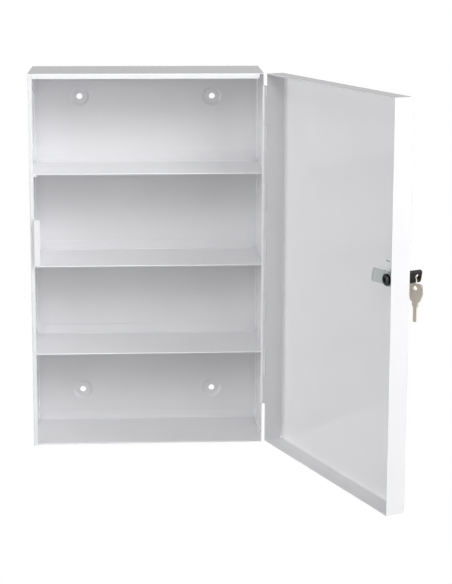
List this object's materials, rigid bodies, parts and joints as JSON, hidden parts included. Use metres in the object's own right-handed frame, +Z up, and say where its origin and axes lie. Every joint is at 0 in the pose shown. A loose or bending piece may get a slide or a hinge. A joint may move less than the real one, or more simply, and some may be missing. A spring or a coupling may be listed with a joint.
{
  "type": "lockable medicine cabinet",
  "caption": "Shallow wall cabinet of folded white sheet steel: fixed shelves behind a pan door on a full-length piano hinge, shut by a wafer cam lock with a key in it and a spare on its ring.",
  "frame": {"origin": "centre of the four wall holes, on the plane of the wall", "axes": "+Y into the wall, +Z up, +X towards the hinge side of the cabinet"},
  "size_m": [0.4373, 0.3571, 0.4574],
  "materials": {
    "white_steel": "smooth satin white powder coat on sheet steel",
    "bright_steel": "bright drawn steel",
    "nickel_plate": "bright nickel plate",
    "zinc_plate": "dull zinc plate",
    "brass": "stamped brass",
    "black_steel": "blackened steel",
    "black_plastic": "fine-grained black plastic"
  },
  "bodies": {
    "cabinet": {"body_wrap": "white_steel", "top_panel": "white_steel", "floor_panel": "white_steel", "shelf_lower": "white_steel", "shelf_middle": "white_steel", "shelf_upper": "white_steel", "strike_bracket": "white_steel", "body_hinge_leaf": "white_steel", "hinge_pin": "bright_steel"},
    "door": {"door_pan": "white_steel", "door_hinge_leaf": "white_steel", "lock_housing": "nickel_plate", "lock_nut": "zinc_plate"},
    "plug": {"lock_plug": "nickel_plate", "plug_clip": "bright_steel", "plug_wafers": "brass", "stop_washer": "zinc_plate", "lock_cam": "zinc_plate", "spring_washer": "black_steel", "cam_bolt": "black_steel"},
    "key": {"key_blade": "nickel_plate", "key_head": "black_plastic"},
    "ring": {"split_ring": "nickel_plate"},
    "spare": {"spare_key": "nickel_plate"}
  },
  "joints": [
    {"name": "door_hinge", "type": "hinge", "parent": "cabinet", "child": "door", "pos_m": [0.14075, -0.10065, 0], "axis": [0, 0, 1], "range_deg": [-113.5, 66.5]},
    {"name": "lock_turn", "type": "hinge", "parent": "door", "child": "plug", "pos_m": [0.26643, -0.32161, 0.02705], "axis": [0.9171, 0.3987, 0], "range_deg": [-12, 168]},
    {"name": "key_slide", "type": "slide", "parent": "plug", "child": "key", "axis": [0.9171, 0.3987, 0], "range_m": [0, 0.026]},
    {"name": "ring_swing", "type": "hinge", "parent": "key", "child": "ring", "pos_m": [0.29018, -0.31128, 0.02705], "axis": [-0.3987, 0.9171, 0], "range_deg": [-15, 15]},
    {"name": "spare_swing", "type": "hinge", "parent": "ring", "child": "spare", "pos_m": [0.28967, -0.31009, 0.01345], "axis": [0.7793, 0.6266, 0], "range_deg": [-15, 15]}
  ]
}
